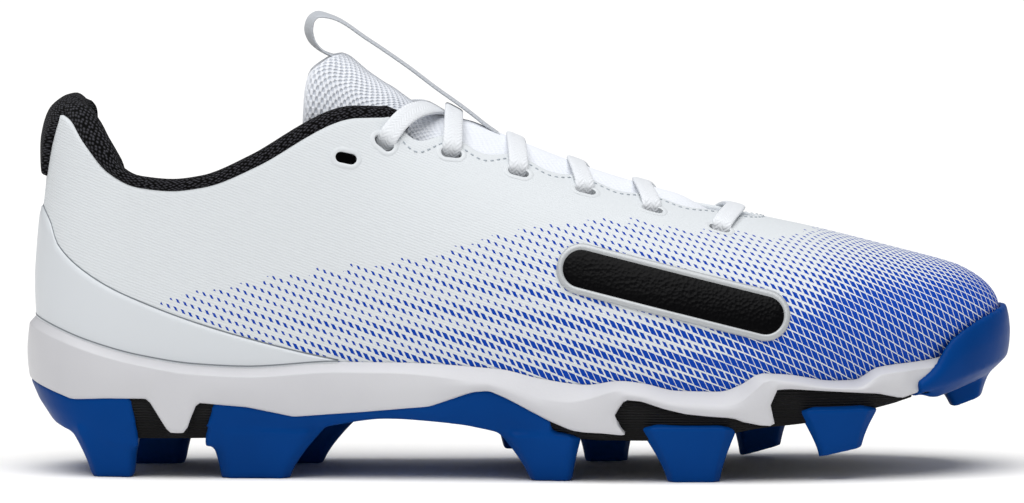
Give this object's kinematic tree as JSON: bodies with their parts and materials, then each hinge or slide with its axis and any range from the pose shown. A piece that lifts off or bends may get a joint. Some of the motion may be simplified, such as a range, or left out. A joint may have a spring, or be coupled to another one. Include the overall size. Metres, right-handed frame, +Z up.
{
  "type": "football cleat",
  "caption": "Low-cut right football cleat with a laced white and blue upper, padded black collar, tongue with a pull loop, white midsole and moulded blue studs.",
  "frame": {"origin": "middle of the shoe's bounding box in plan, on the floor under the stud tips", "axes": "+X to the toe, +Z up, -Y to the outer side of the foot"},
  "size_m": [0.2986, 0.1085, 0.1389],
  "materials": {
    "knit_upper": "white woven shell with a printed blue pattern",
    "heel_skin": "smooth white film",
    "collar_mesh": "black knitted padding",
    "tongue_mesh": "white waffle mesh",
    "webbing": "white woven tape",
    "midsole_foam": "white moulded foam",
    "outsole_rubber": "black grained",
    "cleat_plastic": "royal blue moulded",
    "insole_foam": "grey cloth on foam",
    "badge_film": "black film with a silver rim"
  },
  "bodies": {
    "root": {"arch_cleat": "cleat_plastic", "collar_roll": "collar_mesh", "heel_cleat": "cleat_plastic", "heel_counter": "heel_skin", "heel_tab": "collar_mesh", "insole": "insole_foam", "lace_bar_1": "webbing", "lace_bar_2": "webbing", "lace_bar_3": "webbing", "lace_bar_4": "webbing", "lace_bar_5": "webbing", "lace_bar_6": "webbing", "midsole": "midsole_foam", "outsole_plate": "outsole_rubber", "side_badge_inner": "badge_film", "side_badge_outer": "badge_film", "stud_fore_front_inner": "cleat_plastic", "stud_fore_front_outer": "cleat_plastic", "stud_fore_middle_inner": "cleat_plastic", "stud_fore_middle_outer": "cleat_plastic", "stud_fore_rear_inner": "cleat_plastic", "toe_cleat": "cleat_plastic", "tongue": "tongue_mesh", "tongue_pull_loop": "webbing", "upper": "knit_upper"}
  },
  "joints": []
}
